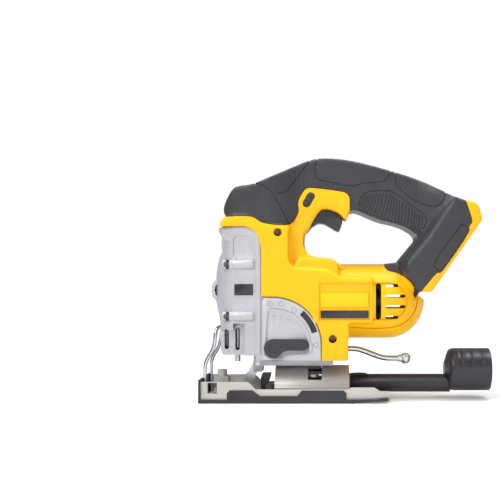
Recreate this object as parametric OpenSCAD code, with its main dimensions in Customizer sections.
// Cordless D-handle jigsaw with a bevelling shoe and a dust-extraction adaptor. Millimetres.
// The origin is on the sole plane, below the plunger's axis. +X runs to the rear, +Z is up,
// and y = 0 is the plane where the two clamshell halves meet. The operator's left side is -Y.

/* [Clamshell] */
// Width of the clamshell round the motor
body_w = 64; // [62:1:80]
// Width of the main handle
handle_w = 38; // [34:1:46]
// Width of the battery foot
foot_w = 72; // [68:1:88]
// Wall thickness of the clamshell
shell_t = 2.6; // [2:0.1:3.2]
// Thickness of the rubber skin moulded over the handle
skin_t = 2.2; // [1.4:0.1:2.6]
// Outer radius of the motor barrel
barrel_r = 32; // [31:0.5:33]

/* [Drive] */
// Height of the motor's axis above the sole
motor_z = 84.5; // [84:0.5:85.5]
// Outer diameter of the motor's steel can
can_d = 50; // [44:0.5:54]
// Diameter of the motor shaft
shaft_d = 6; // [5:0.5:8]
// Cutting stroke of the plunger
stroke = 26; // [20:1:26]
// Diameter of the plunger rod
plunger_d = 9; // [7.5:0.5:11]
// Tooth size of the gear pair (pitch diameter over teeth)
gear_module = 1; // [0.9:0.05:1]
// Teeth on the motor pinion
pinion_teeth = 9; // [9:1:11]
// Teeth on the drive gear
gear_teeth = 45; // [41:1:45]
// Diameter of the drive gear's fixed axle
axle_d = 8; // [6:0.5:10]

/* [Blade guide] */
// Diameter of the grooved roller behind the blade
roller_d = 9; // [7.5:0.5:9.5]
// Diameter of the pin that the fork swings on
fork_pin_d = 4; // [3:0.5:5]

/* [Shoe] */
// Length of the shoe
shoe_l = 158; // [140:1:190]
// Width across the shoe's steel sides
shoe_w = 68; // [60:1:68]
// Thickness of the shoe's steel
steel_t = 2.2; // [1.8:0.1:2.6]
// Thickness of the clip-on plastic sole
sole_t = 1.6; // [1.2:0.1:2]
// Outer radius of the half-round bevel bracket
bracket_r = 22.9; // [22:0.1:22.9]
// Diameter of the bevel clamp screw
clamp_screw_d = 5; // [4:0.5:5.5]
// How far the shoe moves forward to leave its detent
detent_travel = 3; // [2:0.5:3]

/* [Guard and levers] */
// Wire diameter of the finger guard
guard_d = 3.2; // [2.4:0.2:4]
// Rod diameter of the bevel lever
lever_rod_d = 4.7; // [4:0.1:5.5]
// Diameter of the ball on the bevel lever
ball_d = 9.4; // [8:0.2:12]

/* [Dust adaptor] */
// Outer diameter of the hose spout
spout_d = 36.6; // [30:0.2:40]
// Length of the hose spout
spout_l = 39; // [30:1:50]
// Wall thickness of the dust adaptor
spout_t = 1.8; // [1.4:0.1:2.4]
// Outer diameter of the adaptor's tube
tube_d = 15.6; // [12:0.2:16]

/* [Hidden] */
$fn = 48;

gap = 0.3;
running = 0.05;
// How far a bent rod's knuckles stand proud of it
knuckle = 0.05;
big = 400;

body_hw = body_w / 2;
neck_hw = handle_w / 2 + 1;
handle_hw = handle_w / 2;
foot_hw = foot_w / 2;
nose_hw = body_hw - 1;
in_hw = body_hw - shell_t;
barrel_end_x = 129.8;

case_hw = body_hw - 3;
case_t = 3;
case_top = 147;
case_seam_x = -0.7;
case_rear_x = 30;
nose_floor = 39.2;
block_floor = 35;

gear_r = gear_module * gear_teeth / 2;
pinion_r = gear_module * pinion_teeth / 2;
gear_z = motor_z + gear_r + pinion_r;
crank_r = stroke / 2;
shaft_r = shaft_d / 2;
plunger_r = plunger_d / 2;
can_r = can_d / 2;
gear_x0 = 14;
gear_x1 = 21.5;
yoke_z = gear_z + crank_r;
yoke_back = 6.6;
tail_top = yoke_z + 41.5;

selector_pivot = [33.3, 45.4];
quadrant_c = [33, 48];
quadrant_r = 40;
plate_y = -(body_hw - 0.5);

deck_z = sole_t + steel_t;
bevel_z = 6;
shoe_hw = shoe_w / 2;
shoe_front = -29;
shoe_rear = shoe_front + shoe_l;
bracket_x0 = 33.4;
bracket_x1 = 96.7;
clamp_x = 66;
slot_x0 = clamp_x - clamp_screw_d / 2 - 1.9;
slot_x1 = clamp_x + clamp_screw_d / 2 + detent_travel + 1.8;
lever_z = 43.2;
gate_top = lever_z + 5.4;

fork_pivot = [18.3, 31];
roller_at = [10.7, 18.8];
tube_z = 13.5;
spout_x1 = 218.3;
spout_x0 = spout_x1 - spout_l;
spout_z = spout_d / 2 + 7;

// The battery's sliding face: its lower end, and its slope
rail_foot = [164.9, 92.5];
rail_angle = 55;
rail_l = 71;
rail_hw = 27;
rail_lip = 2.5;
rail_depth = 6.5;
// Wall left behind the battery channel
channel_wall = 1.8;

housing_yellow = [0.96, 0.77, 0.03];
rubber_black = [0.25, 0.25, 0.27];
plastic_black = [0.17, 0.18, 0.2];
cast_grey = [0.78, 0.78, 0.81];
steel_grey = [0.8, 0.78, 0.76];
bright_steel = [0.86, 0.87, 0.88];
copper_red = [0.8, 0.45, 0.25];

// Helpers ---------------------------------------------------------------------------------

// A prism between two heights of y, from an outline drawn as x and z
module across(y0, y1) {
    translate([0, y1, 0]) rotate([90, 0, 0]) linear_extrude(y1 - y0) children();
}

// The same on both sides of the middle plane
module wide(hw) {
    across(-hw, hw) children();
}

// A prism on both sides, with its outer edges stepped back by r
module crowned(hw, r) {
    wide(hw - r) children();
    wide(hw - 0.35 * r) offset(delta = -0.35 * r) children();
    wide(hw) offset(delta = -r) children();
}

module rod_x(r, x0, x1, z = 0, y = 0) {
    translate([x0, y, z]) rotate([0, 90, 0]) cylinder(r = r, h = x1 - x0);
}

module rod_y(r, y0, y1, x = 0, z = 0) {
    translate([x, y0, z]) rotate([-90, 0, 0]) cylinder(r = r, h = y1 - y0);
}

module rod_z(r, z0, z1, x = 0, y = 0) {
    translate([x, y, z0]) cylinder(r = r, h = z1 - z0);
}

module box(x0, x1, y0, y1, z0, z1) {
    translate([x0, y0, z0]) cube([x1 - x0, y1 - y0, z1 - z0]);
}

// One of the two halves of a symmetric solid: side -1 is the left, 1 the right
module half(side) {
    intersection() {
        children();
        box(-big, big, side < 0 ? -big : 0, side < 0 ? 0 : big, -big, big);
    }
}

// A ring between two radii about the x axis at height z
module ring_x(r_out, r_in, x0, x1, z) {
    difference() {
        rod_x(r_out, x0, x1, z);
        rod_x(r_in, x0 - 1, x1 + 1, z);
    }
}

function polar(c, r, a) = [c[0] + r * cos(a), c[1] + r * sin(a)];
function arc(c, r, a0, a1, steps) = [for (i = [0:steps]) polar(c, r, a0 + (a1 - a0) * i / steps)];

// Places its children on the battery face: x along it, y across, z into the foot
module on_rail() {
    translate([rail_foot[0], 0, rail_foot[1]]) rotate([0, -rail_angle, 0]) children();
}

// Outlines, drawn as x and z ---------------------------------------------------------------

// Yellow body round the drive and motor, with the band over the gear case
module block_2d() {
    polygon(concat(
        [[-12, 147.3], [-12, 149.6], [-8, 155.4], [12.8, 156], [18, 154.1], [24, 149.6],
         [46.6, 147.4], [50, 138], [50, 124], [56, 116.5], [96, 116.5], [96, 52.6],
         [95.5, 52], [95.5, block_floor], [quadrant_c[0] + quadrant_r, block_floor]],
        arc(quadrant_c, quadrant_r, 0, 90, 12),
        [[23, 88], [22.8, 127.4], [21.3, 135.8], [18, 143.4], [9.8, 147.3]]
    ));
}

// Narrow yellow column in front of the hand hole, with the frame round the trigger
module neck_2d() {
    polygon([
        [40, 112], [40, 147.4], [46.6, 147.4], [54.5, 159.5], [52.5, 168], [58.4, 179.2],
        [63, 181.2], [88, 178], [93.8, 176.8], [97.5, 172.4], [96.8, 161], [94.5, 153.9],
        [92.4, 154.7], [87.8, 159.8], [80.5, 162.8], [75.6, 163.4], [72.2, 162.3],
        [68.3, 157.4], [61.8, 145.4], [58.3, 142.9], [57.6, 138], [57.8, 130.6],
        [60.7, 125.7], [65.7, 122.2], [81.4, 121.1], [84.4, 118.8], [87.5, 116.3], [96, 112]
    ]);
}

// Black nose, as wide as the body
module nose_2d() {
    polygon([
        [-8, 155.4], [-9.8, 161], [-9.2, 165], [-6.1, 171.5], [-2.7, 177.2], [1.8, 181.2],
        [14.4, 182.1], [20.5, 184.6], [29.2, 178.6], [35.9, 166.9], [46.6, 147.4],
        [24, 149.6], [18, 154.1], [12.8, 156]
    ]);
}

// Main handle, from the nose to the battery foot, and down its rear leg to the barrel
module handle_2d() {
    polygon([
        [14.4, 182.1], [25.1, 186.7], [39.3, 193.2], [50.7, 199], [61.5, 203.9], [72, 206.4],
        [96.1, 205], [130.5, 196.1], [155.5, 187.7], [172.8, 178.3], [184.4, 171.8],
        [190, 160], [160, 94.5], [155, 92.8], [151.6, 95.4], [144.8, 104.4],
        [135.9, 109.3], [128, 110.4], [126.3, 116.5],
        [136.8, 117.3], [142.5, 118.8], [146.9, 122], [152.6, 129.2], [154.8, 135],
        [154.1, 140.8], [147.6, 145.9], [136.8, 150.6], [122.3, 153.4], [110.4, 158.6],
        [101.5, 162.4], [96.8, 161], [97.5, 172.4], [93.8, 176.8], [88, 178], [63, 181.2],
        [58.4, 179.2], [52.5, 168], [54.5, 159.5], [46.6, 147.4], [35.9, 166.9], [29.2, 178.6]
    ]);
}

// Black part of the battery foot
module foot_2d() {
    polygon([
        [184.4, 171.8], [192.7, 168.8], [196, 160], [198.2, 152], [197, 143], [161, 92.6],
        [154.6, 92.5], [150, 98], [143, 110], [145, 116], [163, 137], [178.8, 158.5]
    ]);
}

// Yellow rim of the battery foot
module rim_2d() {
    polygon([
        [192.7, 168.8], [199.2, 167.6], [202.2, 166.2], [204.6, 162], [206.9, 152.4],
        [rail_foot[0], rail_foot[1]], [161, 92.6], [197, 143], [198.2, 152], [196, 160]
    ]);
}

module silhouette_2d() {
    block_2d();
    neck_2d();
    nose_2d();
    handle_2d();
    foot_2d();
    rim_2d();
}

// Raised front part of the lower gear case, as a quarter disc
module quadrant_2d(inset) {
    offset(delta = -inset) polygon(concat(
        arc(quadrant_c, quadrant_r, 0, 90, 12),
        [[18.5, 88], [18.5, block_floor], [quadrant_c[0] + quadrant_r, block_floor]]
    ));
}

// Front cover of the gear case, seen from the side
module case_front_2d() {
    polygon([
        [case_seam_x, case_top], [-14.4, case_top], [-14.8, 144], [-10.8, 139.8],
        [-11.5, 133], [-10.6, 126], [-13.4, 122], [-15.6, 115.6], [-17.4, 107.3],
        [-18.1, 98], [-17.8, 86], [-15.9, 77.7], [-14, 72], [-12.7, 66],
        [-12.2, 59.8], [-12.4, 44], [-10.4, nose_floor], [case_seam_x, nose_floor]
    ]);
}

// Clamshell ---------------------------------------------------------------------------------

// Screws through the clamshell: x, z, the side the head is on, and the depth of the head
screw_sites = [[36.6, 142.3, -1, body_hw], [82.6, 53.2, -1, body_hw],
               [6, 170, 1, nose_hw], [148.5, 104.5, 1, foot_hw]];
head_r = 3.4;
thread_r = 1.7;
post_r = 4.6;
head_sink = 7;

module clamshell_cavity() {
    difference() {
        union() {
            wide(handle_hw - skin_t - shell_t) offset(delta = -(skin_t + shell_t)) silhouette_2d();
            wide(foot_hw - skin_t - shell_t) offset(delta = -(skin_t + shell_t)) foot_2d();
        }
        on_rail() box(-20, rail_l + 20, -foot_hw, foot_hw, -5, rail_depth + channel_wall);
    }
    wide(in_hw) offset(delta = -shell_t) block_2d();
    wide(nose_hw - skin_t - shell_t) offset(delta = -(skin_t + shell_t)) nose_2d();
    rod_x(barrel_r - shell_t, 60, barrel_end_x, motor_z);
    translate([barrel_end_x, 0, motor_z]) sphere(r = barrel_r - shell_t);
}

// Openings in the sides of the barrel: one tall slot and four level ones
module vents() {
    box(118.4, 123.2, -big, big, motor_z - 14.3, motor_z + 14.3);
    for (k = [-1.5:1:1.5]) {
        slot_end = barrel_end_x + (abs(k) > 1 ? 8 : 14);
        box(126.7, slot_end, -big, big, motor_z + 8.9 * k - 1.3, motor_z + 8.9 * k + 1.3);
    }
}

module screw_posts() {
    for (s = screw_sites) {
        rod_y(post_r, -(s[3] - 2.5), s[3] - 2.5, s[0], s[1]);
    }
}

module screw_holes() {
    for (s = screw_sites) {
        y_head = s[3] - head_sink;
        rod_y(thread_r + running, -y_head, y_head, s[0], s[1]);
        if (s[2] < 0) rod_y(head_r + running, -big, -y_head, s[0], s[1]);
        if (s[2] > 0) rod_y(head_r + running, y_head, big, s[0], s[1]);
    }
}

// Shell under the rubber, with the channel that the battery slides into
module shell_core() {
    intersection() {
        union() {
            wide(nose_hw - skin_t) nose_2d();
            wide(handle_hw - skin_t) handle_2d();
            wide(foot_hw - skin_t) foot_2d();
        }
        wide(big) offset(delta = -skin_t) silhouette_2d();
    }
}

module battery_channel() {
    on_rail() {
        box(-8, rail_l - 9, -rail_hw + 5, rail_hw - 5, -2, rail_lip + 0.1);
        box(-8, rail_l - 9, -rail_hw, rail_hw, rail_lip, rail_depth);
    }
}

// Seat of the terminal block, behind the channel
module terminal_pocket() {
    on_rail() box(26, 58, -17, 17, rail_depth - 0.1, rail_depth + 9);
}

module trigger_pocket() {
    wide(trigger_hw + 0.5) polygon([
        [60, 144], [64, 178], [92, 174], [93.3, 154], [92.5, 140], [60, 140]
    ]);
}

// The lower block is a skirt, open below and behind, that the bevel lever swings in
module lever_gate() {
    box(quadrant_c[0] + quadrant_r - 10, 100, -in_hw, in_hw, 0, gate_top);
}

// Room for the fan and the seat of the motor can, where they cross the quadrant's wall
module motor_seat() {
    rod_x(fan_r + 1.5, 31, can_x0 - 1, motor_z);
    rod_x(can_r, can_x0 - 1.1, can_x1, motor_z);
}

module clamshell(side) {
    half(side) difference() {
        union() {
            difference() {
                union() {
                    crowned(body_hw, 4) block_2d();
                    crowned(neck_hw, 3) neck_2d();
                    rod_x(barrel_r, 88, barrel_end_x, motor_z);
                    translate([barrel_end_x, 0, motor_z]) sphere(r = barrel_r);
                    shell_core();
                    wide(foot_hw) rim_2d();
                }
                clamshell_cavity();
                vents();
                battery_channel();
            }
            intersection() {
                screw_posts();
                union() {
                    crowned(body_hw, 4) block_2d();
                    shell_core();
                }
            }
        }
        box(9, case_rear_x + 1, -case_hw, case_hw, 87.9, case_top);
        rod_z(plunger_r + 1, 140, tail_top + 1.5);
        lock_oval(lock_r + gap, -big, big);
        trigger_pocket();
        lever_gate();
        motor_seat();
        terminal_pocket();
        screw_holes();
        wide(case_hw + gap) quadrant_2d(-gap);
    }
}

module housing_left() {
    color(housing_yellow) clamshell(-1);
}

module housing_right() {
    color(housing_yellow) clamshell(1);
}

// Rubber over the handle, the nose and the battery foot
module grip_skin(side) {
    half(side) difference() {
        union() {
            crowned(nose_hw, 4) nose_2d();
            crowned(handle_hw, 5) handle_2d();
            crowned(foot_hw, 3) foot_2d();
        }
        wide(body_hw + 1) block_2d();
        crowned(neck_hw, 3) neck_2d();
        wide(foot_hw + 1) rim_2d();
        rod_x(barrel_r, 88, barrel_end_x, motor_z);
        translate([barrel_end_x, 0, motor_z]) sphere(r = barrel_r);
        shell_core();
        lock_oval(lock_r + gap, -big, big);
        trigger_pocket();
        screw_holes();
        battery_channel();
    }
}

module grip_skin_left() {
    color(rubber_black) grip_skin(-1);
}

module grip_skin_right() {
    color(rubber_black) grip_skin(1);
}

// One thread-forming screw with a pan head and a socket, its head at y = 0, pointing to +y
module pan_screw(r_head, r_thread, length) {
    difference() {
        union() {
            rod_y(r_head, 0, 2.4);
            rod_y(r_thread, 2.3, length);
        }
        rotate([-90, 0, 0]) translate([0, 0, -0.1]) cylinder(r = r_head * 0.5, h = 1.5, $fn = 6);
    }
}

module housing_screws() {
    color(bright_steel) for (s = screw_sites) {
        translate([s[0], s[2] * (s[3] - head_sink + 2.4), s[1]])
            rotate([0, 0, s[2] < 0 ? 0 : 180]) pan_screw(head_r, thread_r, 24);
    }
}

// Gear case ---------------------------------------------------------------------------------

case_boss_z = [72, 115.5];
case_boss_r = 4.4;
case_boss_y = case_hw - 1.2;

module case_boss_row(r, x0, x1) {
    for (z = case_boss_z) {
        for (side = [-1, 1]) rod_x(r, x0, x1, z, side * case_boss_y);
    }
}

module nose_slots() {
    for (x = [-7.1, 2]) {
        box(x - 1.9, x + 1.9, -big, big, 45, 60.4);
        rod_y(1.9, -big, big, x, 45);
        rod_y(1.9, -big, big, x, 60.4);
    }
}

// Open room inside for the yoke, the gear and the blade clamp
module drive_room() {
    box(-7.6, gear_x1 + 1.2, -(gear_r + 2), gear_r + 2, gear_z - gear_r - 2, gear_z + gear_r + 2);
    box(-7.6, gear_x1 + 1.2, -(pinion_r + 3), pinion_r + 3, motor_z - pinion_r - 3, 96);
    rod_z(clamp_collar_r + 1.6, nose_floor - 5, lower_bush_z0);
}

module gear_case() {
    color(cast_grey) difference() {
        union() {
            box(case_seam_x, 23, -case_hw, case_hw, 66, case_top);
            box(case_seam_x, 10, -nose_case_hw, nose_case_hw, nose_floor, 66.5);
            box(9, 23, -case_hw, case_hw, nose_floor, 66.5);
            box(22.9, case_rear_x, -(case_hw - 1), case_hw - 1, 88.5, 134);
            box(22.9, case_rear_x, -16, 16, motor_z - 12, 90);
            wide(case_hw) quadrant_2d(0);
            case_boss_row(case_boss_r, case_seam_x, 16);
            box(14.7, 22.2, -foot_arm_hw, foot_arm_hw, 23.9, nose_floor + 1);
            box(22, 82.9, -foot_arm_hw, foot_arm_hw, bevel_z + bracket_r + gap, block_floor + 0.5);
        }
        drive_room();
        rod_x(axle_d / 2, 15, case_rear_x + 1, gear_z);
        rod_x(front_bearing_r, case_rear_x - 6, case_rear_x + 1, motor_z);
        rod_x(shaft_r + 1, 15, case_rear_x + 1, motor_z);
        rod_z(bush_r, lower_bush_z0, lower_bush_z1);
        rod_z(bush_r, upper_bush_z0, case_top + 1);
        nose_slots();
        case_boss_row(thread_r + running, case_seam_x - 1, 14);
        quadrant_room();
        motor_seat();
        fork_room();
        rod_z(clamp_screw_d / 2 + running, 20, 60, clamp_x);
        rod_y(selector_shaft_r + running, -big, 0, selector_pivot[0], selector_pivot[1]);
        rod_y(fork_pin_d / 2, -big, big, fork_pivot[0], fork_pivot[1]);
    }
}

nose_case_hw = 20;
foot_arm_hw = 10;
clamp_collar_r = plunger_r + 0.1;
bush_r = plunger_r + 3.2;
lower_bush_z0 = 69;
lower_bush_z1 = 82;
upper_bush_z0 = yoke_z + 11;
front_bearing_r = 9.5;

// The quarter disc is hollow, and open to the rear where the bevel lever comes out
module quadrant_room() {
    wide(case_hw - case_t) intersection() {
        quadrant_2d(case_t);
        polygon([[26, block_floor], [26, 90], [80, 90], [80, block_floor]]);
    }
    box(50, quadrant_c[0] + quadrant_r + 1, -in_hw + 4, in_hw - 4, block_floor + 1, 51.5);
}

// A slot for the pendulum fork, from the foot arm up into the case
module fork_room() {
    box(4.9, 22.3, -fork_hw - 0.6, fork_hw + 0.6, 23, 40);
    box(9, 20, -fork_hw - 0.6, fork_hw + 0.6, 39, 58);
}

module gear_case_front() {
    color(cast_grey) difference() {
        intersection() {
            union() {
                wide(case_hw - 9) case_front_2d();
                wide(case_hw - 4) translate([2.2, 0]) case_front_2d();
                wide(case_hw - 1) translate([6, 0]) case_front_2d();
                case_boss_row(case_boss_r, -9, case_seam_x);
            }
            union() {
                box(-30, case_seam_x, -case_hw, case_hw, 66, case_top);
                box(-30, case_seam_x, -nose_case_hw, nose_case_hw, nose_floor - 1, 66.5);
            }
        }
        drive_room();
        rod_z(bush_r, lower_bush_z0, lower_bush_z1);
        rod_z(bush_r, upper_bush_z0, case_top + 1);
        nose_slots();
        case_boss_row(thread_r + running, -12, case_seam_x + 1);
        case_boss_row(head_r + running, -30, -6);
        release_room();
    }
}

module gear_case_screws() {
    color(bright_steel) for (z = case_boss_z) {
        for (side = [-1, 1]) {
            translate([-8.4, side * case_boss_y, z]) rotate([0, 0, -90])
                pan_screw(head_r, thread_r, 20);
        }
    }
}

module side_badge() {
    color(plastic_black) box(0.4, 16, -case_hw - 0.8, -case_hw, 89.8, 99);
}

// Pendulum selector ---------------------------------------------------------------------------

selector_shaft_r = 3;
lever_disc_r = 7.85;
lever_reach = 24.6;
lever_arm_w = 9.8;
pocket_r = 31.5;

module selector_plate() {
    color(cast_grey) difference() {
        across(plate_y, -case_hw) quadrant_2d(0.6);
        across(plate_y - 1, plate_y + 1.6) intersection() {
            translate(selector_pivot) circle(r = pocket_r, $fn = 96);
            translate(selector_pivot - [9, 9]) square([60, 60]);
        }
        across(plate_y - 1, -case_hw + 1) polygon(concat(
            arc(selector_pivot, 39.2, 16, 50, 8),
            arc(selector_pivot, 34.4, 50, 16, 8)
        ));
        rod_y(selector_shaft_r + running, -big, 0, selector_pivot[0], selector_pivot[1]);
    }
}

module selector_lever() {
    y_in = plate_y + 1.6 - gap;
    color(plastic_black) difference() {
        union() {
            rod_y(lever_disc_r, y_in - 4.4, y_in, selector_pivot[0], selector_pivot[1]);
            translate([selector_pivot[0], 0, selector_pivot[1]]) {
                box(0, lever_reach, y_in - 4.4, y_in, lever_disc_r - lever_arm_w, lever_disc_r);
                rod_y(lever_arm_w / 2, y_in - 4.4, y_in, lever_reach, lever_disc_r - lever_arm_w / 2);
            }
        }
        rod_y(selector_shaft_r, y_in - 2.4, y_in + 1, selector_pivot[0], selector_pivot[1]);
    }
}

module selector_shaft() {
    y_in = plate_y + 1.6 - gap;
    color(bright_steel) difference() {
        rod_y(selector_shaft_r, y_in - 2.4, -fork_hw - 6, selector_pivot[0], selector_pivot[1]);
        box(selector_pivot[0] - 4, selector_pivot[0] - 1.2, -20, 0,
            selector_pivot[1] - 4, selector_pivot[1] + 4);
    }
}

// Motor ---------------------------------------------------------------------------------------

can_x0 = 52;
can_x1 = 110;
core_r = can_r - 8;
fan_r = can_r + 1;
shaft_r_pinion = 1.8;
shaft_x1 = 124;
magnet_r = can_r - 5.2;

module motor_can() {
    color(steel_grey) difference() {
        rod_x(can_r, can_x0, can_x1, motor_z);
        rod_x(can_r - 1.8, can_x0 + 2, can_x1 + 1, motor_z);
        rod_x(shaft_r + 3, can_x0 - 1, can_x0 + 3, motor_z);
    }
}

module motor_magnets() {
    color(plastic_black) difference() {
        ring_x(can_r - 1.8, magnet_r, can_x0 + 6, can_x1 - 8, motor_z);
        box(can_x0, can_x1, -5, 5, motor_z - can_r, motor_z + can_r);
    }
}

module armature_core() {
    color(copper_red) difference() {
        union() {
            rod_x(core_r, can_x0 + 9, can_x1 - 16, motor_z);
            rod_x(core_r - 3, can_x0 + 5, can_x1 - 12, motor_z);
        }
        rod_x(shaft_r, can_x0, can_x1, motor_z);
        for (i = [0:11]) {
            translate([0, 0, motor_z]) rotate([30 * i, 0, 0])
                box(can_x0 + 8, can_x1 - 15, -0.9, 0.9, core_r - 5, core_r + 1);
        }
    }
}

module motor_shaft() {
    color(bright_steel) {
        rod_x(shaft_r_pinion, gear_x0 - 1, gear_x1 + 1.2, motor_z);
        rod_x(shaft_r, gear_x1 + 1, shaft_x1, motor_z);
    }
}

module commutator() {
    color(copper_red) difference() {
        rod_x(shaft_r + 5.5, can_x1 - 10, can_x1 + 3, motor_z);
        rod_x(shaft_r, can_x1 - 12, can_x1 + 5, motor_z);
        for (i = [0:11]) {
            translate([0, 0, motor_z]) rotate([30 * i, 0, 0])
                box(can_x1 - 11, can_x1 + 4, -0.3, 0.3, shaft_r + 4, shaft_r + 6);
        }
    }
}

module cooling_fan() {
    color(plastic_black) {
        ring_x(fan_r, shaft_r, 40.5, 42.5, motor_z);
        ring_x(shaft_r + 4, shaft_r, 42.4, 50, motor_z);
        for (i = [0:10]) {
            translate([0, 0, motor_z]) rotate([360 / 11 * i, 0, 0])
                box(42.4, 49, -0.8, 0.8, shaft_r + 3, fan_r - 1);
        }
    }
}

// A straight-toothed gear about the x axis; turn is the angle of its first tooth
module gear_2d(teeth, turn) {
    r = gear_module * teeth / 2;
    tooth = 360 / teeth;
    rotate(turn) polygon([for (i = [0:teeth - 1]) each [
        polar([0, 0], r - 1.15 * gear_module, (i - 0.30) * tooth),
        polar([0, 0], r, (i - 0.21) * tooth),
        polar([0, 0], r + 0.8 * gear_module, (i - 0.10) * tooth),
        polar([0, 0], r + 0.8 * gear_module, (i + 0.10) * tooth),
        polar([0, 0], r, (i + 0.21) * tooth),
        polar([0, 0], r - 1.15 * gear_module, (i + 0.30) * tooth)
    ]]);
}

module toothed_x(teeth, turn, x0, x1, z) {
    translate([x0, 0, z]) rotate([90, 0, 90]) linear_extrude(x1 - x0) gear_2d(teeth, turn);
}

module motor_pinion() {
    color(bright_steel) difference() {
        toothed_x(pinion_teeth, 90, gear_x0 - 0.5, gear_x1 + 0.5, motor_z);
        rod_x(shaft_r_pinion, gear_x0 - 2, gear_x1 + 2, motor_z);
    }
}

module front_bearing() {
    color(bright_steel) ring_x(front_bearing_r, shaft_r + running, case_rear_x - 6, case_rear_x, motor_z);
}

module rear_bearing() {
    color(bright_steel) ring_x(8, shaft_r + running, shaft_x1 - 7, shaft_x1 - 1, motor_z);
}

module brush_holder() {
    color(plastic_black) difference() {
        union() {
            ring_x(can_r, can_r - 4, can_x1, can_x1 + 4, motor_z);
            ring_x(11, 8, shaft_x1 - 8, shaft_x1 - 1, motor_z);
            for (side = [-1, 1]) {
                box(can_x1 + 3, shaft_x1 - 1, -4, 4, motor_z + side * 15 - 5, motor_z + side * 15 + 5);
                box(can_x1 + 0.5, can_x1 + 4, -6, 6,
                    motor_z + side * 18 - 4, motor_z + side * 18 + 4);
            }
        }
        rod_x(shaft_r + 6, can_x1 - 1, can_x1 + 6, motor_z);
        rod_x(8, can_x1, shaft_x1 + 1, motor_z);
        for (side = [-1, 1]) brush_site(side);
    }
}

module brush_site(side) {
    box(can_x1 - 4, can_x1 + 2.4, -3, 3, motor_z + side * 14 - 5.2, motor_z + side * 14 + 5.2);
}

module carbon_brushes() {
    color(plastic_black) difference() {
        for (side = [-1, 1]) brush_site(side);
        rod_x(shaft_r + 5.5 + running, can_x1 - 12, can_x1 + 5, motor_z);
    }
}

// Drive ---------------------------------------------------------------------------------------

module drive_gear() {
    color(bright_steel) difference() {
        toothed_x(gear_teeth, -90 + 180 / gear_teeth, gear_x0, gear_x1, gear_z);
        rod_x(axle_d / 2 + running, gear_x0 - 1, gear_x1 + 1, gear_z);
        ring_x(gear_r - 4, axle_d / 2 + 4, gear_x1 - 2, gear_x1 + 1, gear_z);
        rod_x(2.5, gear_x0 - 1, gear_x0 + 4, gear_z + crank_r);
    }
}

module gear_axle() {
    color(bright_steel) rod_x(axle_d / 2, gear_x0 - 1.5, case_rear_x, gear_z);
}

module crank_pin() {
    color(bright_steel) {
        rod_x(2.5, gear_x0 - 5.6, gear_x0 + 4, gear_z + crank_r);
        ring_x(4, 2.5, yoke_back + 0.6, gear_x0 - 0.4, gear_z + crank_r);
    }
}

module counterweight() {
    color(cast_grey) intersection() {
        ring_x(gear_r - 2, axle_d / 2 + 3, gear_x0 - 3, gear_x0, gear_z);
        box(0, 20, -big, big, gear_z - gear_r, gear_z - 3);
    }
}

clamp_z0 = 44;
clamp_z1 = 58;

module plunger_rod() {
    color(bright_steel) rod_z(plunger_r, clamp_z1, tail_top);
}

module plunger_yoke() {
    color(cast_grey) difference() {
        box(-plunger_r - 1.5, yoke_back, -crank_r - 6.5, crank_r + 6.5, yoke_z - 8, yoke_z + 8);
        rod_z(plunger_r, yoke_z - 20, yoke_z + 20);
        box(plunger_r + 0.4, yoke_back + 1, -crank_r - 4.4, crank_r + 4.4, yoke_z - 4.3, yoke_z + 4.3);
    }
}

module upper_bush() {
    color(copper_red) difference() {
        rod_z(bush_r, upper_bush_z0, case_top);
        rod_z(plunger_r + running, upper_bush_z0 - 1, case_top + 1);
    }
}

module lower_bush() {
    color(copper_red) difference() {
        rod_z(bush_r, lower_bush_z0, lower_bush_z1);
        rod_z(plunger_r + running, lower_bush_z0 - 1, lower_bush_z1 + 1);
    }
}

// Clamp on the plunger's lower end: a collar, and a slotted tip for the blade's tang
module blade_clamp() {
    color(cast_grey) difference() {
        union() {
            rod_z(clamp_collar_r, clamp_z0, clamp_z1);
            rod_z(2.5, 32.3, clamp_z0 + 1);
        }
        box(-1.8, 5, -0.8, 0.8, 31, 52);
    }
}

release_axis = [-16.6, 12];
module release_room() {
    rod_z(2.3 + gap, 84.6, 103.4, release_axis[0], release_axis[1]);
    box(-30, release_axis[0] + 2.3, -13, release_axis[1], 84.6, 103.4);
    rod_z(1.5, 80, 108, release_axis[0], release_axis[1]);
}

// Bail on the front of the gear case that opens the blade clamp
module blade_release_lever() {
    color(bright_steel) difference() {
        union() {
            across(-12, release_axis[1]) polygon([
                [-17, 85.2], [-19.6, 87.4], [-21.1, 92], [-21.1, 96.4], [-19.6, 100.8],
                [-17, 102.9], [-15.4, 102.9], [-15.4, 99.8], [-17.7, 97.8], [-18.6, 94],
                [-17.7, 90.2], [-15.4, 88.2], [-15.4, 85.2]
            ]);
            rod_z(2.3, 85, 103, release_axis[0], release_axis[1]);
        }
        rod_z(1.5 + running, 80, 108, release_axis[0], release_axis[1]);
    }
}

module release_lever_pin() {
    color(bright_steel) rod_z(1.5, 80, 108, release_axis[0], release_axis[1]);
}

// Blade guide ---------------------------------------------------------------------------------

fork_hw = 5;
roller_hw = 2.6;

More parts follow.
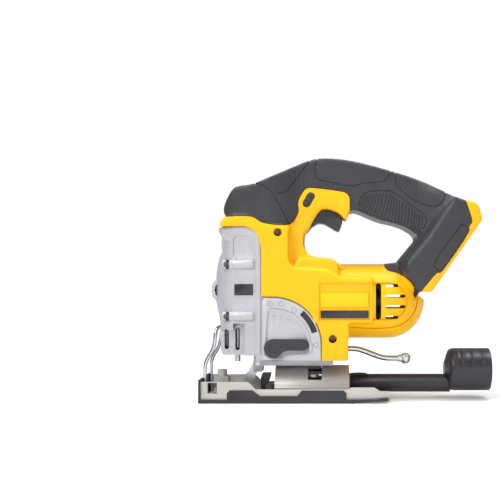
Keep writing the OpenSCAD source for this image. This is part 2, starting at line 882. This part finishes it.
module pendulum_fork() {
    color(bright_steel) difference() {
        union() {
            rod_y(fork_pin_d / 2 + 2, -fork_hw, fork_hw, fork_pivot[0] - 0.4, fork_pivot[1]);
            wide(fork_hw) polygon([
                [fork_pivot[0] - 3.9, fork_pivot[1] + 2], [roller_at[0] - 2.6, roller_at[1] + 1],
                [roller_at[0] - 1, roller_at[1] - 2.6], [roller_at[0] + 3, roller_at[1] - 1.6],
                [fork_pivot[0] + 2, fork_pivot[1] - 2]
            ]);
            wide(fork_hw - 1) polygon([
                [fork_pivot[0] - 3.4, fork_pivot[1]], [fork_pivot[0] - 5.6, 54],
                [fork_pivot[0] - 1.4, 54], [fork_pivot[0] + 2, fork_pivot[1]]
            ]);
        }
        rod_y(fork_pin_d / 2 + running, -big, big, fork_pivot[0], fork_pivot[1]);
        box(roller_at[0] - 7, roller_at[0] + roller_d / 2 + 1, -roller_hw - gap, roller_hw + gap,
            roller_at[1] - 8, roller_at[1] + roller_d / 2 + 1);
        rod_y(1.5, -big, big, roller_at[0], roller_at[1]);
    }
}

module fork_pin() {
    color(bright_steel) rod_y(fork_pin_d / 2, -foot_arm_hw, foot_arm_hw, fork_pivot[0], fork_pivot[1]);
}

module guide_roller() {
    color(bright_steel) difference() {
        rod_y(roller_d / 2, -roller_hw, roller_hw, roller_at[0], roller_at[1]);
        rod_y(1.5 + running, -big, big, roller_at[0], roller_at[1]);
        difference() {
            rod_y(roller_d / 2 + 1, -0.9, 0.9, roller_at[0], roller_at[1]);
            rod_y(roller_d / 2 - 1.2, -2, 2, roller_at[0], roller_at[1]);
        }
    }
}

module roller_pin() {
    color(bright_steel) rod_y(1.5, -fork_hw, fork_hw, roller_at[0], roller_at[1]);
}

// Switch and battery connection ----------------------------------------------------------------

trigger_hw = 8.5;

module trigger() {
    color(rubber_black) wide(trigger_hw) polygon([
        [62.6, 146.8], [65.7, 149.4], [69.7, 151.8], [73.5, 151.8], [78, 149.8],
        [86.4, 144.6], [88.6, 145.2], [91.6, 154.6], [91.6, 163], [88.6, 165],
        [74.5, 168], [70.2, 165.4], [67.4, 160.4], [62.8, 150]
    ]);
}

module trigger_spring() {
    color(bright_steel) difference() {
        rod_z(3, 168, 174.5, 80);
        rod_z(2, 167, 176, 80);
    }
}

module switch_body() {
    color(plastic_black) wide(handle_hw - skin_t - shell_t - 1) polygon([
        [69, 174.5], [69, 192], [92, 197], [112, 194], [112, 178], [101, 174.5]
    ]);
}

lock_at = [62.3, 170.4];
lock_r = 3.1;
lock_flat = 3.5;
// Oval across the handle, leaning with the trigger's frame
module lock_oval(r, y0, y1) {
    translate([lock_at[0], 0, lock_at[1]]) rotate([0, -60, 0]) {
        box(-lock_flat, lock_flat, y0, y1, -r, r);
        for (e = [-lock_flat, lock_flat]) rod_y(r, y0, y1, e);
    }
}

module lock_off_button() {
    color(plastic_black) lock_oval(lock_r, -(neck_hw + 0.6), neck_hw);
}

module terminal_block() {
    color(plastic_black) on_rail()
        box(26, 58, -17, 17, rail_depth, rail_depth + 9);
}

module terminal_blades() {
    color(copper_red) on_rail()
        for (i = [-2:2]) {
            box(30, 48, 5.5 * i - 0.4, 5.5 * i + 0.4, 1.5, rail_depth);
        }
}

// Shoe ------------------------------------------------------------------------------------------

kerf_hw = 9;
kerf_x1 = 26;
flange_top = 17.7;

module flange_2d() {
    polygon([
        [shoe_front + 1.7, sole_t], [shoe_front + 1.7, flange_top], [12, flange_top],
        [15.5, 14.8], [18.5, 11.5], [96, 11.5], [98, 13], [shoe_rear - 12, 13],
        [shoe_rear - 7, 10], [shoe_rear, 10], [shoe_rear, 5], [shoe_rear - 10, 4.4],
        [shoe_rear - 28, sole_t]
    ]);
}

module fence_window() {
    box(-21.5, -13.5, -big, big, 8, 17);
}

module shoe_plate() {
    color(steel_grey) difference() {
        union() {
            for (side = [-1, 1]) {
                across(side < 0 ? -shoe_hw : shoe_hw - steel_t, side < 0 ? -shoe_hw + steel_t : shoe_hw)
                    flange_2d();
            }
            box(shoe_front + 1.7, shoe_rear - 28, -shoe_hw + 1, shoe_hw - 1, sole_t, deck_z);
            wide(shoe_hw - 1) polygon([
                [shoe_rear - 28.1, sole_t], [shoe_rear - 28.1, deck_z], [shoe_rear - 10, 5.2],
                [shoe_rear, 5.2], [shoe_rear, 3.4], [shoe_rear - 10, 3.4]
            ]);
        }
        box(-22, kerf_x1, -kerf_hw, kerf_hw, 0, deck_z + 1);
        fence_window();
    }
}

module cover_side_2d() {
    polygon([
        [shoe_front, 0], [shoe_front, 3], [-5.2, 3], [-5.2, 8.5], [-2.8, 10.9], [16, 10.9],
        [22.4, 6], [53, 6], [57, 10.7], [91.5, 10.7], [94, 8.5], [94, 3],
        [shoe_rear - 10, 3.2], [shoe_rear, 4.6], [shoe_rear, 1.8], [shoe_rear - 10, 1.4], [94, 0]
    ]);
}

module shoe_cover() {
    color(plastic_black) difference() {
        union() {
            for (side = [-1, 1]) {
                across(side < 0 ? -shoe_hw - 1.6 : shoe_hw, side < 0 ? -shoe_hw : shoe_hw + 1.6)
                    cover_side_2d();
            }
            box(shoe_front, shoe_rear - 28, -shoe_hw - 1.5, shoe_hw + 1.5, 0, sole_t);
            box(shoe_front, shoe_front + 1.7, -shoe_hw - 1.6, shoe_hw + 1.6, 0, 19.5);
        }
        box(-22, kerf_x1, -kerf_hw, kerf_hw, -1, sole_t + 1);
        box(shoe_front - 1, shoe_front + 3, -12, 12, 8, 30);
    }
}

module splinter_insert() {
    color(cast_grey) difference() {
        box(-8, kerf_x1, -kerf_hw, kerf_hw, 0.2, deck_z);
        box(-9, 16, -2.2, 2.2, -1, deck_z + 1);
        box(5, 17, -6.5, 6.5, 2, deck_z + 1);
    }
}

module fence_screw() {
    color(steel_grey) {
        rod_z(4.2, 18, 24, -15, 14);
        rod_z(2.4, 14, 18.2, -15, 14);
        box(-21.5, -9, 6.6, 21, deck_z, 7.4);
        box(-21.5, -9, 6.6, 21, 12.5, 18);
        box(-12.5, -9, 6.6, 21, 7.3, 12.6);
    }
}

// Half-round bracket that the shoe bevels on, with a slot for the clamp screw
module bevel_bracket() {
    color(steel_grey) difference() {
        union() {
            intersection() {
                ring_x(bracket_r, bracket_r - 2.5, bracket_x0, bracket_x1, bevel_z);
                box(0, 200, -big, big, bevel_z + 5.2, big);
            }
            for (side = [-1, 1]) {
                box(bracket_x0, bracket_x1, side < 0 ? -bracket_r + 0.6 : bracket_r - 3,
                    side < 0 ? -bracket_r + 3 : bracket_r - 0.6, deck_z, bevel_z + 5.6);
            }
        }
        box(slot_x0, slot_x1, -19.5, 19.5, bevel_z + 10, big);
    }
}

// Sliding key inside the bracket that the clamp pulls up, and that holds the detent
module bevel_block() {
    color(plastic_black) difference() {
        union() {
            intersection() {
                rod_x(bracket_r - 2.5 - gap, slot_x0 - 8, slot_x1 + 8, bevel_z);
                box(0, 200, -9, 9, 21.5, big);
            }
            box(slot_x0 + gap, slot_x1 - gap, -3.6, 3.6, 21.5, bevel_z + bracket_r - 0.3);
        }
        box(clamp_x - clamp_screw_d / 2 - 0.4, clamp_x + clamp_screw_d / 2 + detent_travel + 0.4,
            -clamp_screw_d / 2 - 0.4, clamp_screw_d / 2 + 0.4, 10, 40);
    }
}

module bevel_screw() {
    color(bright_steel) rod_z(clamp_screw_d / 2, 18.6, lever_z + 4, clamp_x);
}

module bevel_nut() {
    color(bright_steel) difference() {
        translate([clamp_x, 0, 18.6]) cylinder(r = clamp_screw_d / 2 + 1.9, h = 2.6, $fn = 6);
        rod_z(clamp_screw_d / 2, 10, 30, clamp_x);
    }
}

// Rod lever: a hub on the screw, then a bent rod to the rear
lever_bend = [[104.7, 43.2], [126.4, 34.8], [142, 34.8]];

module lever_run(a, b) {
    run = b - a;
    translate([a[0], 0, a[1]]) rotate([0, 90 - atan2(run[1], run[0]), 0])
        cylinder(r = lever_rod_d / 2, h = norm(run));
    translate([b[0], 0, b[1]]) sphere(r = lever_rod_d / 2 + knuckle);
}

module bevel_lever() {
    color(bright_steel) difference() {
        union() {
            rod_z(6.4, lever_z - 5, lever_z + 5, clamp_x);
            lever_run([clamp_x + 3, lever_z], lever_bend[0]);
            lever_run(lever_bend[0], lever_bend[1]);
            rod_x(lever_rod_d / 2, lever_bend[1][0], lever_bend[2][0], lever_bend[2][1]);
        }
        rod_z(clamp_screw_d / 2, lever_z - 6, lever_z + 4, clamp_x);
    }
}

module bevel_ball() {
    color(bright_steel) difference() {
        translate([lever_bend[2][0] + 3.7, 0, lever_bend[2][1]]) sphere(r = ball_d / 2);
        rod_x(lever_rod_d / 2, lever_bend[1][0], lever_bend[2][0], lever_bend[2][1]);
    }
}

// Finger guard: a wire arch in front of the blade, standing on the shoe
guard_hw = 19.5;
guard_r = guard_d / 2;
guard_x = shoe_front + 1.7 + guard_r;
guard_side = [[guard_x, deck_z], [guard_x, 32.4], [-17.6, 45.6], [-16.9, 57], [-15.4, 62.2]];

module guard_run(a, b) {
    run = b - a;
    translate(a) rotate([0, acos(run[2] / norm(run)), atan2(run[1], run[0])])
        cylinder(r = guard_r, h = norm(run));
    translate(b) sphere(r = guard_r + knuckle);
}

module wire_guard() {
    color(bright_steel) {
        for (side = [-1, 1]) {
            for (i = [0:3]) {
                top = i == 3;
                a = guard_side[i];
                b = guard_side[i + 1];
                guard_run([a[0], side * guard_hw, a[1]],
                          [b[0], side * (guard_hw - (top ? 5 : 0)), b[1]]);
            }
        }
        guard_run([guard_side[4][0], -guard_hw + 5, guard_side[4][1]],
                  [guard_side[4][0], guard_hw - 5, guard_side[4][1]]);
    }
}

// Dust adaptor ------------------------------------------------------------------------------------

duct_hw = 10;
duct_top = 13;
duct_z0 = deck_z + 1.8;
duct_x1 = 98;
scoop_x0 = 21;

// Fixed mouth behind the blade that takes in the chips
module chip_scoop() {
    color(plastic_black) difference() {
        wide(8) polygon([
            [scoop_x0, 9], [scoop_x0 - 0.4, 21.4], [scoop_x0 + 4.5, 21.4],
            [scoop_x0 + 8.5, 14.5], [scoop_x0 + 8.5, deck_z], [scoop_x0 + 2, deck_z]
        ]);
        wide(6.6) polygon([
            [scoop_x0 - 4, 9.5], [scoop_x0 - 4, 20], [scoop_x0 + 3.8, 20], [scoop_x0 + 7.2, 14],
            [scoop_x0 + 9.5, 12.4], [scoop_x0 + 9.5, duct_z0 + 1.2], [scoop_x0 + 4.4, duct_z0 + 1.2]
        ]);
    }
}

// Flat duct under the bevel bracket, with a taller chamber where the tube joins it
module dust_duct() {
    x0 = scoop_x0 + 8.5 + gap;
    color(plastic_black) difference() {
        union() {
            box(x0, duct_x1, -duct_hw, duct_hw, duct_z0, duct_top);
            box(duct_x1 - 10, duct_x1, -duct_hw, duct_hw, duct_z0, tube_z + tube_d / 2);
        }
        box(x0 - 1, duct_x1 - 1.2, -duct_hw + 1.2, duct_hw - 1.2, duct_z0 + 1.2, duct_top - 1.2);
        box(duct_x1 - 8.8, duct_x1 - 1.2, -duct_hw + 1.2, duct_hw - 1.2,
            duct_z0 + 1.2, tube_z + tube_d / 2 - 1.2);
        rod_x(tube_d / 2 - spout_t, duct_x1 - 2, duct_x1 + 1, tube_z);
    }
}

module dust_spout() {
    tube_r = tube_d / 2;
    color(plastic_black) difference() {
        union() {
            rod_x(tube_r, duct_x1, spout_x0 + 6, tube_z);
            rod_x(spout_d / 2, spout_x0 + 5, spout_x1, spout_z);
            translate([spout_x0 + 5, 0, spout_z]) rotate([0, -90, 0])
                cylinder(r1 = spout_d / 2, r2 = spout_d / 2 - 4, h = 5);
            box(duct_x1, duct_x1 + 15, -5, 5, tube_z + tube_r - 3, tube_z + tube_r + 0.6);
        }
        rod_x(tube_r - spout_t, 97, spout_x0 + 7, tube_z);
        rod_x(spout_d / 2 - spout_t, spout_x0 + 5, spout_x1 + 1, spout_z);
        for (i = [0:2]) {
            box(spout_x0 + 13 + 8.5 * i, spout_x0 + 14 + 8.5 * i, -6, 6,
                spout_z + spout_d / 2 - 0.6, big);
        }
    }
}

housing_left();
housing_right();
grip_skin_left();
grip_skin_right();
housing_screws();
gear_case();
gear_case_front();
gear_case_screws();
side_badge();
selector_plate();
selector_lever();
selector_shaft();
motor_can();
motor_magnets();
armature_core();
motor_shaft();
commutator();
cooling_fan();
motor_pinion();
front_bearing();
rear_bearing();
brush_holder();
carbon_brushes();
drive_gear();
gear_axle();
crank_pin();
counterweight();
plunger_rod();
plunger_yoke();
upper_bush();
lower_bush();
blade_clamp();
blade_release_lever();
release_lever_pin();
pendulum_fork();
fork_pin();
guide_roller();
roller_pin();
trigger();
trigger_spring();
switch_body();
lock_off_button();
terminal_block();
terminal_blades();
shoe_plate();
shoe_cover();
splinter_insert();
fence_screw();
bevel_bracket();
bevel_block();
bevel_screw();
bevel_nut();
bevel_lever();
bevel_ball();
wire_guard();
chip_scoop();
dust_duct();
dust_spout();
